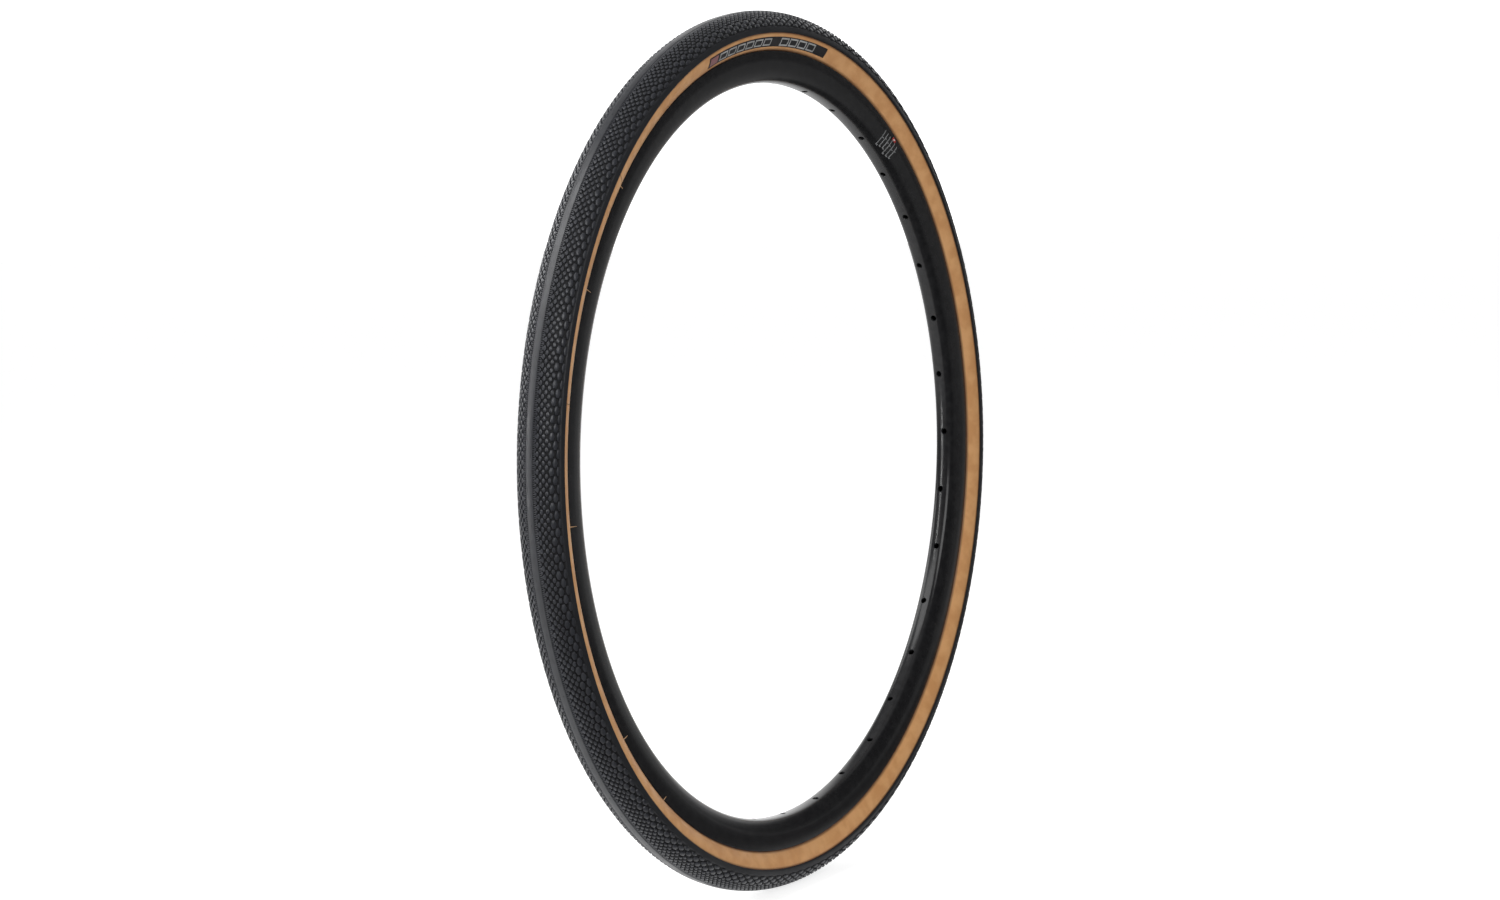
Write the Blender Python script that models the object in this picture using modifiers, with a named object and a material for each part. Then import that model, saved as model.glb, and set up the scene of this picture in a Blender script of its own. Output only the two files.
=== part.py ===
"""Bicycle tire, 38-622 with tan sidewalls, seated on a bare 36-hole rim.

Metres, +Z up. The wheel turns about Y through the origin, and its front face looks along -Y.
Every ring is turned about the same axis with the same number of steps, so that the flats of
nested rings stay parallel and the rings keep an even gap.
"""
import bpy
import bmesh
from math import cos, hypot, pi, radians, sin
from mathutils import Matrix

MM = 0.001
GAP = 0.3 * MM                      # clearance kept between pieces that touch on the real tire

STEPS = 36                          # flats round the wheel, a multiple of 4
STEP_ANGLE = 2 * pi / STEPS

# Tire section: layers are circles about the section centre, and angles start at the crown.
SECTION_RADIUS = 328.9 * MM         # axle to section centre
TREAD_TOP = 19.3 * MM               # section centre to the tops of the knobs
TREAD_BASE = 17.2 * MM              # underside of the tread
TREAD_EDGE = 18.7 * MM              # tread surface at its outer edge
CENTRE_FLAT = 4.0 * MM              # half width of the flat running strip
CENTRE_ANGLE = radians(15)          # half angle of the centre strip
SHOULDER_START = radians(16)
SHOULDER_FULL = radians(71)         # the shoulder thins from here to its edge
SHOULDER_END = radians(85)
BELT_LAYER = (16.55 * MM, 0.5 * MM)       # middle of the layer and its thickness
BELT_ANGLE = radians(60)
PLY_LAYER = (15.6 * MM, 0.6 * MM)
PLY_ANGLE = radians(70)
LINER_LAYER = (14.65 * MM, 0.5 * MM)
LINER_ANGLE = radians(70)

# Below the tread each point is (distance from the axle, distance from the middle plane).
SIDEWALL_THICKNESS = 1.1 * MM
SIDEWALL_PATH = (
    (329.9 * MM, 16.6 * MM),
    (325.3 * MM, 15.65 * MM),
    (321.1 * MM, 13.65 * MM),
    (317.5 * MM, 10.9 * MM),
)
BEAD_CENTRE = (314.4 * MM, 6.6 * MM)
BEAD_RADIUS = 1.35 * MM
CHAFER_THICKNESS = 0.4 * MM
PLY_FOOT = (
    (330.3 * MM, 15.5 * MM),
    (325.7 * MM, 14.6 * MM),
    (321.6 * MM, 12.5 * MM),
    (319.0 * MM, 10.4 * MM),
    (317.4 * MM, 7.0 * MM),
    (314.8 * MM, 4.4 * MM),
    (312.4 * MM, 4.6 * MM),
    (312.4 * MM, 8.4 * MM),
    (316.0 * MM, 8.6 * MM),
)
LINER_FOOT = (
    (330.5 * MM, 14.6 * MM),
    (326.0 * MM, 13.65 * MM),
    (322.1 * MM, 11.75 * MM),
    (319.0 * MM, 7.0 * MM),
    (316.4 * MM, 3.7 * MM),
    (313.2 * MM, 3.3 * MM),
)
CHAFER_PATH = ((316.2 * MM, 9.4 * MM), (311.6 * MM, 9.4 * MM), (311.6 * MM, 4.2 * MM))

# Rim, a hollow extrusion with a 622 mm bead seat.
NOSE_RADIUS = 291.7 * MM            # spoke bed
FLANGE_RADIUS = 316.5 * MM
SEAT_RADIUS = 311.0 * MM
WELL_RADIUS = 308.0 * MM
RIM_HALF_WIDTH = 11.4 * MM
RIM_OUTLINE = (
    (NOSE_RADIUS, 4.4 * MM),
    (293.6 * MM, 7.2 * MM),
    (300.0 * MM, 9.8 * MM),
    (309.0 * MM, RIM_HALF_WIDTH),
    (FLANGE_RADIUS, RIM_HALF_WIDTH),
    (FLANGE_RADIUS, 9.8 * MM),
    (SEAT_RADIUS, 10.0 * MM),
    (SEAT_RADIUS, 4.9 * MM),
    (WELL_RADIUS, 3.9 * MM),
)
CHAMBER_OUTLINE = (
    (293.3 * MM, 3.8 * MM),
    (300.4 * MM, 8.0 * MM),
    (309.0 * MM, 9.4 * MM),
    (309.0 * MM, 5.6 * MM),
    (306.4 * MM, 3.6 * MM),
)
SPOKE_HOLES = 36
SPOKE_PHASE = radians(8.5)          # first spoke hole, from +X towards +Z
SPOKE_HOLE_RADIUS = 2.25 * MM
SPOKE_OFFSET = 1.2 * MM             # holes lie alternately in front of and behind the middle
ACCESS_HOLE_RADIUS = 4.25 * MM
VALVE_ANGLE = radians(93.5)         # midway between two spoke holes
VALVE_HOLE_RADIUS = 3.25 * MM
HOLE_SIDES = 8
TAPE_OUTLINE = ((308.3 * MM, 3.6 * MM), (308.7 * MM, 3.6 * MM))
SLEEVE_OUTLINE = ((296.6 * MM, 5.2 * MM), (303.6 * MM, 7.9 * MM))
SLEEVE_LENGTH = 34 * MM

# Thin applied pieces.
LABEL_CENTRE = radians(94.1)
LABEL_LENGTH = 182 * MM
LABEL_PATH = (
    (326.8 * MM, 16.93 * MM),
    (325.0 * MM, 16.56 * MM),
    (320.6 * MM, 14.47 * MM),
    (319.4 * MM, 13.57 * MM),
)
LABEL_THICKNESS = 0.2 * MM
DECAL_CENTRE = radians(51.5)
DECAL_LENGTH = 24 * MM
DECAL_PATH = ((301.4 * MM, 10.55 * MM), (308.0 * MM, 11.72 * MM))
DECAL_THICKNESS = 0.2 * MM

# Colour, roughness and metallic value of each finish.
FINISHES = {
    "tread_rubber": ((0.030, 0.031, 0.036), 0.62, 0.0),
    "tan_rubber": ((0.56, 0.32, 0.15), 0.60, 0.0),
    "ply_fabric": ((0.42, 0.25, 0.13), 0.80, 0.0),
    "belt_fabric": ((0.16, 0.15, 0.14), 0.85, 0.0),
    "bead_fibre": ((0.62, 0.52, 0.22), 0.70, 0.0),
    "chafer_fabric": ((0.05, 0.05, 0.05), 0.85, 0.0),
    "liner_rubber": ((0.04, 0.04, 0.045), 0.50, 0.0),
    "label_print": ((0.035, 0.035, 0.04), 0.45, 0.0),
    "rim_coating": ((0.028, 0.028, 0.031), 0.38, 0.3),
    "rim_tape": ((0.55, 0.42, 0.10), 0.50, 0.0),
    "sleeve_alloy": ((0.62, 0.63, 0.65), 0.35, 1.0),
    "decal_print": ((0.30, 0.31, 0.33), 0.40, 0.0),
}


def clear_scene():
    for old in list(bpy.data.objects):
        bpy.data.objects.remove(old, do_unlink=True)


def make_collection(name):
    collection = bpy.data.collections.new(name)
    bpy.context.scene.collection.children.link(collection)
    return collection


def make_material(name):
    colour, roughness, metallic = FINISHES[name]
    material = bpy.data.materials.new(name)
    material.use_nodes = True
    shader = material.node_tree.nodes["Principled BSDF"]
    shader.inputs["Base Color"].default_value = (*colour, 1.0)
    shader.inputs["Roughness"].default_value = roughness
    shader.inputs["Metallic"].default_value = metallic
    return material


def add_object(name, mesh, collection, finish=None):
    """Put a mesh on the wheel axis; without a finish it is a cutter."""
    item = bpy.data.objects.new(name, mesh)
    collection.objects.link(item)
    item.parent = axle
    if finish:
        mesh.materials.append(materials[finish])
        mesh.shade_smooth()
        mesh.set_sharp_from_angle(angle=radians(35))
    else:
        item.hide_render = True
        item.display_type = "WIRE"
    return item


def on_section(radius, angle):
    """Point on a circle about the section centre, as (distance from axle, distance from middle)."""
    return SECTION_RADIUS + radius * cos(angle), radius * sin(angle)


def arc(radius, start, end, points):
    return [on_section(radius, start + (end - start) * i / (points - 1)) for i in range(points)]


def mirrored(half):
    """A path from the middle plane outwards, continued on the far side of that plane."""
    return [(r, -z) for r, z in reversed(half) if z > GAP / 10] + list(half)


def ring_outline(half):
    """A closed outline whose far half mirrors its near half."""
    return list(half) + [(r, -z) for r, z in reversed(half)]


def flipped(points):
    return [(r, -z) for r, z in points]


def shifted(path, distance):
    """The same path moved sideways, away from the section centre when the distance is positive."""
    normals = []
    for (r0, z0), (r1, z1) in zip(path, path[1:]):
        length = hypot(r1 - r0, z1 - z0)
        normals.append(((z1 - z0) / length, (r0 - r1) / length))
    moved = []
    for i, (r, z) in enumerate(path):
        before = normals[max(i - 1, 0)]
        after = normals[min(i, len(normals) - 1)]
        reach = distance / (1 + before[0] * after[0] + before[1] * after[1])
        moved.append((r + reach * (before[0] + after[0]), z + reach * (before[1] + after[1])))
    return moved


def band(path, thickness):
    """Closed outline of even thickness along an open path."""
    return shifted(path, thickness / 2) + shifted(path, -thickness / 2)[::-1]


def signed_area(outline):
    following = outline[1:] + outline[:1]
    return sum(r0 * z1 - r1 * z0 for (r0, z0), (r1, z1) in zip(outline, following)) / 2


def turn(item, steps, angle):
    screw = item.modifiers.new("turn", "SCREW")
    screw.axis = "Z"
    screw.angle = angle
    screw.steps = steps
    screw.render_steps = steps
    screw.use_merge_vertices = True
    screw.merge_threshold = 0.00001
    return screw


def profile_mesh(name, points, closed, start):
    """Edges of a profile in the plane through the axle at the given angle."""
    mesh = bpy.data.meshes.new(name)
    bm = bmesh.new()
    corners = [bm.verts.new((r * cos(start), r * sin(start), z)) for r, z in points]
    for first, second in zip(corners, corners[1:]):
        bm.edges.new((first, second))
    if closed:
        bm.edges.new((corners[-1], corners[0]))
    bm.to_mesh(mesh)
    bm.free()
    return mesh


def ring(name, outline, collection, finish=None):
    """Full turn of a closed outline; the outline runs down its outer side."""
    if signed_area(outline) > 0:
        outline = outline[::-1]
    mesh = profile_mesh(name, outline, True, STEP_ANGLE / 2)
    item = add_object(name, mesh, collection, finish)
    turn(item, STEPS, 2 * pi)
    return item


def cut(item, cutter, operation="DIFFERENCE"):
    boolean = item.modifiers.new(cutter.name, "BOOLEAN")
    boolean.operation = operation
    boolean.solver = "EXACT"
    boolean.object = cutter


def block_cutter(name, centre_angle, length, side):
    """Block over one stretch of the wheel, on the front (side 1) or the back (side -1)."""
    mesh = bpy.data.meshes.new(name)
    bm = bmesh.new()
    reach = 60 * MM
    turned = Matrix.Rotation(centre_angle, 4, "Z")
    moved = Matrix.Translation((FLANGE_RADIUS, 0, side * reach / 2))
    size = Matrix.Diagonal((reach, length, reach, 1))
    bmesh.ops.create_cube(bm, size=1.0, matrix=turned @ moved @ size)
    bm.to_mesh(mesh)
    bm.free()
    return add_object(name, mesh, cutters)


def patch(name, path, thickness, centre_angle, length, side, finish):
    """Thin piece that lies along a few flats of a ring, trimmed to its length."""
    flats = 2 + int(length / (FLANGE_RADIUS * STEP_ANGLE))
    first_flat = round((centre_angle - flats * STEP_ANGLE / 2) / STEP_ANGLE - 0.5) + 0.5
    points = path if side > 0 else flipped(path)
    mesh = profile_mesh(name, points, False, first_flat * STEP_ANGLE)
    item = add_object(name, mesh, tire, finish)
    turn(item, flats, flats * STEP_ANGLE)
    solidify = item.modifiers.new("thickness", "SOLIDIFY")
    solidify.thickness = thickness
    solidify.offset = 0
    cut(item, block_cutter(name + "_trim", centre_angle, length, side), "INTERSECT")
    return item


def make_tread():
    side = [(SECTION_RADIUS + TREAD_TOP, CENTRE_FLAT), on_section(TREAD_TOP, CENTRE_ANGLE),
            on_section(TREAD_BASE, CENTRE_ANGLE)]
    under_crown = (SECTION_RADIUS + TREAD_BASE, 0)
    ring("tread_centre", side + [under_crown] + flipped(side[::-1]), tire, "tread_rubber")
    shoulder = arc(TREAD_TOP, SHOULDER_START, SHOULDER_FULL, 4)
    shoulder.append(on_section(TREAD_EDGE, SHOULDER_END))
    shoulder += arc(TREAD_BASE, SHOULDER_END, SHOULDER_START, 6)
    ring("tread_shoulder_front", shoulder, tire, "tread_rubber")
    ring("tread_shoulder_back", flipped(shoulder), tire, "tread_rubber")


def make_carcass():
    radius, thickness = BELT_LAYER
    belt = mirrored(arc(radius, 0, BELT_ANGLE, 4))
    ring("puncture_belt", band(belt, thickness), tire, "belt_fabric")
    radius, thickness = PLY_LAYER
    ply = mirrored(arc(radius, 0, PLY_ANGLE, 6) + list(PLY_FOOT))
    ring("casing_ply", band(ply, thickness), tire, "ply_fabric")
    radius, thickness = LINER_LAYER
    liner = mirrored(arc(radius, 0, LINER_ANGLE, 4) + list(LINER_FOOT))
    ring("inner_liner", band(liner, thickness), tire, "liner_rubber")


def make_side(suffix, side):
    """Sidewall, bead core, chafer and label of one side; side 1 is the front."""
    facing = list if side > 0 else flipped
    wall = band(SIDEWALL_PATH, SIDEWALL_THICKNESS)
    ring("sidewall_" + suffix, facing(wall), tire, "tan_rubber")
    corners = [i * pi / 3 for i in range(6)]
    core = [(BEAD_CENTRE[0] + BEAD_RADIUS * cos(a), BEAD_CENTRE[1] + BEAD_RADIUS * sin(a))
            for a in corners]
    ring("bead_core_" + suffix, facing(core), tire, "bead_fibre")
    ring("chafer_" + suffix, facing(band(CHAFER_PATH, CHAFER_THICKNESS)), tire, "chafer_fabric")
    patch("label_" + suffix, list(LABEL_PATH), LABEL_THICKNESS, LABEL_CENTRE, LABEL_LENGTH,
          side, "label_print")
    patch("rim_decal_" + suffix, list(DECAL_PATH), DECAL_THICKNESS, DECAL_CENTRE, DECAL_LENGTH,
          side, "decal_print")


def radial_pins(name, pins):
    """Cutter of round pins that point at the axle, each (angle, offset, radius, start, end)."""
    mesh = bpy.data.meshes.new(name)
    bm = bmesh.new()
    lying = Matrix.Rotation(pi / 2, 4, "Y")
    for angle, offset, radius, start, end in pins:
        moved = Matrix.Translation(((start + end) / 2, 0, offset))
        bmesh.ops.create_cone(bm, cap_ends=True, segments=HOLE_SIDES, radius1=radius, radius2=radius,
                              depth=end - start, matrix=Matrix.Rotation(angle, 4, "Z") @ moved @ lying)
    bm.to_mesh(mesh)
    bm.free()
    return add_object(name, mesh, cutters)


def make_rim():
    rim = ring("rim", ring_outline(RIM_OUTLINE), tire, "rim_coating")
    cut(rim, ring("rim_chamber", ring_outline(CHAMBER_OUTLINE), cutters))
    inside = (CHAMBER_OUTLINE[0][0] + CHAMBER_OUTLINE[-1][0]) / 2
    below = NOSE_RADIUS - 5 * MM
    above = SEAT_RADIUS + 5 * MM
    pins = []
    for i in range(SPOKE_HOLES):
        angle = SPOKE_PHASE + i * 2 * pi / SPOKE_HOLES
        offset = SPOKE_OFFSET if i % 2 else -SPOKE_OFFSET
        pins.append((angle, offset, SPOKE_HOLE_RADIUS, below, inside))
        pins.append((angle, 0, ACCESS_HOLE_RADIUS - abs(offset), inside + GAP, above))
    cut(rim, radial_pins("spoke_holes", pins))
    valve_hole = radial_pins("valve_hole", [(VALVE_ANGLE, 0, VALVE_HOLE_RADIUS, below, above)])
    cut(rim, valve_hole)
    tape = ring("rim_tape", ring_outline(TAPE_OUTLINE), tire, "rim_tape")
    cut(tape, valve_hole)


def make_sleeve():
    """Insert that joins the two ends of the rim inside its chamber, opposite the valve hole."""
    curve = bpy.data.curves.new("rim_joint_sleeve", "CURVE")
    curve.dimensions = "2D"
    curve.fill_mode = "BOTH"
    curve.extrude = SLEEVE_LENGTH / 2
    middle = (SLEEVE_OUTLINE[0][0] + SLEEVE_OUTLINE[1][0]) / 2
    outline = ring_outline(SLEEVE_OUTLINE)
    spline = curve.splines.new("POLY")
    spline.points.add(len(outline) - 1)
    for point, (r, z) in zip(spline.points, outline):
        point.co = (r - middle, z, 0, 1)
    spline.use_cyclic_u = True
    curve.materials.append(materials["sleeve_alloy"])
    sleeve = bpy.data.objects.new("rim_joint_sleeve", curve)
    tire.objects.link(sleeve)
    sleeve.parent = axle
    opposite = Matrix.Rotation(VALVE_ANGLE + pi, 4, "Z")
    lengthways = Matrix.Rotation(pi / 2, 4, "X")
    sleeve.matrix_local = opposite @ Matrix.Translation((middle, 0, 0)) @ lengthways


clear_scene()
tire = make_collection("bicycle_tire")
cutters = make_collection("cutters")
materials = {name: make_material(name) for name in FINISHES}
axle = bpy.data.objects.new("axle", None)
tire.objects.link(axle)
axle.rotation_euler = (pi / 2, 0, 0)        # local Z, the turning axis, points to the front
make_tread()
make_carcass()
make_side("front", 1)
make_side("back", -1)
make_rim()
make_sleeve()
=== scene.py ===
import random
from math import cos, hypot, pi, radians, sin

import bmesh
import bpy
from mathutils import Matrix, Vector


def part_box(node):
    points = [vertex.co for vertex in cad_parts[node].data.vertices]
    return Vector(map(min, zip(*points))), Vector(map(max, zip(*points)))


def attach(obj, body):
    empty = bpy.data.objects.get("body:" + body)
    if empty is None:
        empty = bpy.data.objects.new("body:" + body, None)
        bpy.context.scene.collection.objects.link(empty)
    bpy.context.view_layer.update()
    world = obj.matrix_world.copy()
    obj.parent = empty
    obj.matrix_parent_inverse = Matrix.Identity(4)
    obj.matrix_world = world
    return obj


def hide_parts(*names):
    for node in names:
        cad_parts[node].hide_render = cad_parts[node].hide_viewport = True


# Bicycle tire with tan walls on a bare black rim. The wheel turns about Y, its front looks along -Y.
# Wheel angles run from +X to +Z, section angles from the crown towards the front.
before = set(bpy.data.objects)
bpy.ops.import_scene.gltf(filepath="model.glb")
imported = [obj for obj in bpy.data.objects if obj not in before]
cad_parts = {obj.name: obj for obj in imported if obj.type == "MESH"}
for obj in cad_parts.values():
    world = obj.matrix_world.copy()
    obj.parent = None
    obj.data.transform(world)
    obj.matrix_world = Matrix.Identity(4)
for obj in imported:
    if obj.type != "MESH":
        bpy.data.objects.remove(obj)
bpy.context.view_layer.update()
mm = 0.001
ringFlats = 36                                   # flats of the frame's rings
sharpAngle = radians(40)                         # edges that turn more than this stay sharp
seamGap = 0.0002 * mm                            # points nearer than this are one point

def roundRadius(node):
    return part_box(node)[1].z / cos(pi / ringFlats)

wheel = {
    "top": roundRadius("tread_centre"),          # axle to the running strip
    "rimEdge": roundRadius("rim"),               # axle to the flange
    "sectionHeight": 19.3 * mm,                  # section centre to the running strip
    "steps": 360,
}
sectionRadius = wheel["top"] - wheel["sectionHeight"]


# Section outlines are lists of (radius, side) in metres; these tools turn them into rings and slabs.
def onSection(height, angle):
    return sectionRadius + height * cos(angle), height * sin(angle)

def sectionArc(height, start, end, count):
    return [onSection(height, radians(start + (end - start) * i / count)) for i in range(count + 1)]

def softened(corners, segments=3):
    # closed outline of (radius, side, reach); each corner is rounded over its reach
    outline = []
    for i, (r, s, reach) in enumerate(corners):
        before, after = corners[i - 1], corners[(i + 1) % len(corners)]
        if reach == 0:
            outline.append((r, s))
            continue
        ends = []
        for other in (before, after):
            length = hypot(other[0] - r, other[1] - s)
            share = min(reach / length, 0.49)
            ends.append((r + (other[0] - r) * share, s + (other[1] - s) * share))
        for j in range(segments + 1):
            t = j / segments
            outline.append(tuple(ends[0][k] * (1 - t) ** 2 + 2 * (r, s)[k] * t * (1 - t)
                                 + ends[1][k] * t * t for k in (0, 1)))
    return outline

def flipped(outline):
    return [(r, -s) for r, s in outline]

def outlineLoop(bm, outline):
    corners = [bm.verts.new((r, -s, 0)) for r, s in outline]
    return corners + [bm.edges.new(pair) for pair in zip(corners, corners[1:] + corners[:1])]

def shadeSmooth(mesh):
    mesh.shade_smooth()
    mesh.set_sharp_from_angle(angle=sharpAngle)

def finishPiece(bm, name, material, slot, replaced=()):
    mesh = bpy.data.meshes.new(name)
    bm.to_mesh(mesh)
    bm.free()
    shadeSmooth(mesh)
    mesh.materials.append(material)
    piece = bpy.data.objects.new(name, mesh)
    bpy.context.scene.collection.objects.link(piece)
    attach(piece, "root")
    if replaced:
        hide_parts(*replaced)
    return piece

def ringMesh(outline, steps=None):
    bm = bmesh.new()
    loop = outlineLoop(bm, outline)
    bmesh.ops.spin(bm, geom=loop, cent=(0, 0, 0), axis=(0, 1, 0), angle=2 * pi,
                   steps=steps or wheel["steps"], use_merge=True)
    bmesh.ops.remove_doubles(bm, verts=bm.verts, dist=0.001 * mm)
    bmesh.ops.recalc_face_normals(bm, faces=bm.faces)
    return bm

def tirePlace(wheelAngle, sectionAngle, height):
    # local X runs round the wheel, local Y towards the front, local Z out of the surface
    aroundWheel = Matrix.Rotation(-wheelAngle, 4, "Y")
    toSection = Matrix.Translation((sectionRadius, 0, 0))
    acrossSection = Matrix.Rotation(-sectionAngle, 4, "Z")
    outOf = Matrix(((0, 0, 1, height), (0, -1, 0, 0), (1, 0, 0, 0), (0, 0, 0, 1)))
    return aroundWheel @ toSection @ acrossSection @ outOf

def repeatRound(bm, geom, count):
    bmesh.ops.spin(bm, geom=geom, cent=(0, 0, 0), axis=(0, -1, 0), angle=2 * pi * (count - 1) / count,
                   steps=count - 1, use_duplicate=True)

def widened(path, thickness):
    # closed outline of even thickness along an open path
    sides = ([], [])
    for i, (r, s) in enumerate(path):
        before, after = path[max(i - 1, 0)], path[min(i + 1, len(path) - 1)]
        length = hypot(after[0] - before[0], after[1] - before[1])
        across = ((after[1] - before[1]) / length, (before[0] - after[0]) / length)
        for side, half in zip(sides, (thickness / 2, -thickness / 2)):
            side.append((r + across[0] * half, s + across[1] * half))
    return sides[0] + sides[1][::-1]

def laySlab(bm, along, up, lift, steps, place):
    # thin closed slab made flat, then laid on a surface by place(along, up, lift)
    base = bmesh.ops.create_grid(bm, x_segments=steps[0], y_segments=steps[1], size=0.5)["verts"]
    faces = list({face for v in base for face in v.link_faces})
    grown = bmesh.ops.extrude_face_region(bm, geom=faces, use_keep_orig=True)["geom"]
    top = [v for v in grown if isinstance(v, bmesh.types.BMVert)]
    for verts, height in ((base, lift[0]), (top, lift[1])):
        for v in verts:
            v.co = place(along[0] + (v.co.x + 0.5) * (along[1] - along[0]),
                         up[0] + (v.co.y + 0.5) * (up[1] - up[0]), height)

def onWheel(wheelAngle, r, s):
    return Vector((r * cos(wheelAngle), -s, r * sin(wheelAngle)))

def otherSide(bm):
    bmesh.ops.scale(bm, vec=(1, -1, 1), verts=bm.verts)
    bmesh.ops.reverse_faces(bm, faces=bm.faces)


# Short ways to add and join shader nodes
class Nodes:
    def __init__(self, tree):
        self.tree = tree

    def add(self, kind, **values):
        node = self.tree.nodes.new(kind)
        for name, value in values.items():
            setattr(node, name, value)
        return node

    def put(self, socket, value):
        if isinstance(value, bpy.types.NodeSocket):
            self.tree.links.new(value, socket)
        elif isinstance(value, tuple) and len(value) == 3 and socket.type == "RGBA":
            socket.default_value = (*value, 1)
        else:
            socket.default_value = value

    def math(self, operation, a, b=0.0, c=0.0):
        node = self.add("ShaderNodeMath", operation=operation)
        for socket, value in zip(node.inputs, (a, b, c)):
            self.put(socket, value)
        return node.outputs[0]

    def noise(self, where, scale, detail=3.0, roughness=0.55):
        node = self.add("ShaderNodeTexNoise")
        self.put(node.inputs["Vector"], where)
        self.put(node.inputs["Scale"], scale)
        self.put(node.inputs["Detail"], detail)
        self.put(node.inputs["Roughness"], roughness)
        return node.outputs["Fac"]

    def ramp(self, value, low, high, toLow=0.0, toHigh=1.0):
        node = self.add("ShaderNodeMapRange", interpolation_type="SMOOTHSTEP")
        for socket, number in zip(node.inputs, (value, low, high, toLow, toHigh)):
            self.put(socket, number)
        return node.outputs[0]

    def mix(self, share, first, second):
        node = self.add("ShaderNodeMix", data_type="RGBA")
        self.put(node.inputs["Factor"], share)
        self.put(node.inputs["A"], first)
        self.put(node.inputs["B"], second)
        return node.outputs["Result"]

    def group(self, tree, **values):
        node = self.add("ShaderNodeGroup", node_tree=tree)
        for name, value in values.items():
            self.put(node.inputs[name], value)
        return node.outputs


def newGroup(name, inputs, outputs):
    tree = bpy.data.node_groups.new(name, "ShaderNodeTree")
    for socket, kind, value in inputs:
        made = tree.interface.new_socket(name=socket, in_out="INPUT", socket_type=kind)
        if value is not None:
            made.default_value = value
    for socket, kind in outputs:
        tree.interface.new_socket(name=socket, in_out="OUTPUT", socket_type=kind)
    nodes = Nodes(tree)
    return tree, nodes, nodes.add("NodeGroupInput"), nodes.add("NodeGroupOutput")

def makeGrain():
    # fine moulded grain with a slower unevenness under it
    tree, n, inside, out = newGroup(
        "rubberGrain",
        [("Vector", "NodeSocketVector", None), ("Scale", "NodeSocketFloat", 900.0)],
        [("Height", "NodeSocketFloat"), ("Mottle", "NodeSocketFloat")])
    fine = n.noise(inside.outputs["Vector"], inside.outputs["Scale"], 2.0)
    slow = n.noise(inside.outputs["Vector"], n.math("DIVIDE", inside.outputs["Scale"], 11.0), 3.0)
    n.put(out.inputs["Height"], n.math("MULTIPLY_ADD", fine, 0.6, n.math("MULTIPLY", slow, 0.4)))
    n.put(out.inputs["Mottle"], n.ramp(slow, 0.35, 0.68))
    return tree

def makePlace():
    # distances from the turning axis, the middle plane and the section centre
    tree, n, inside, out = newGroup(
        "wheelPlace", [("Vector", "NodeSocketVector", None)],
        [("Radius", "NodeSocketFloat"), ("Side", "NodeSocketFloat"), ("Section", "NodeSocketFloat")])
    split = n.add("ShaderNodeSeparateXYZ")
    n.put(split.inputs[0], inside.outputs["Vector"])
    x, y, z = split.outputs
    radius = n.math("SQRT", n.math("MULTIPLY_ADD", x, x, n.math("MULTIPLY", z, z)))
    fromSection = n.math("SUBTRACT", radius, sectionRadius)
    squares = n.math("MULTIPLY_ADD", fromSection, fromSection, n.math("MULTIPLY", y, y))
    n.put(out.inputs["Radius"], radius)
    n.put(out.inputs["Side"], n.math("ABSOLUTE", y))
    n.put(out.inputs["Section"], n.math("SQRT", squares))
    return tree

grainGroup = makeGrain()
placeGroup = makePlace()

def newMaterial(name, **sockets):
    material = bpy.data.materials.new(name)
    material.use_nodes = True
    n = Nodes(material.node_tree)
    shader = material.node_tree.nodes["Principled BSDF"]
    for socket, value in sockets.items():
        n.put(shader.inputs[socket.replace("_", " ")], value)
    where = n.add("ShaderNodeTexCoord").outputs["Object"]
    return material, n, shader, where

def addBump(n, shader, height, strength, distance):
    bump = n.add("ShaderNodeBump")
    n.put(bump.inputs["Height"], height)
    n.put(bump.inputs["Strength"], strength)
    n.put(bump.inputs["Distance"], distance)
    n.put(shader.inputs["Normal"], bump.outputs["Normal"])


tread = {
    "under": 17.2 * mm,           # section centre to the underside
    "base": 18.0 * mm,            # floor between the knobs
    "stripAngle": 8.6,            # half angle of the smooth strip
    "wingStart": 71.0,
    "wing": 18.85 * mm,
    "edgeAngle": 85.5,
    "modules": 175,               # pattern repeats round the wheel
}
wallEdge = sectionRadius + 1.2 * mm              # where the tan wall meets the tread
# the valley tone is painted shade on the floor between the knobs
rubberLook = {"valleyShade": (0.0045, 0.0049, 0.0065), "dark": (0.018, 0.019, 0.0235),
              "light": (0.036, 0.038, 0.0455), "roughness": (0.31, 0.45)}

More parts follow.
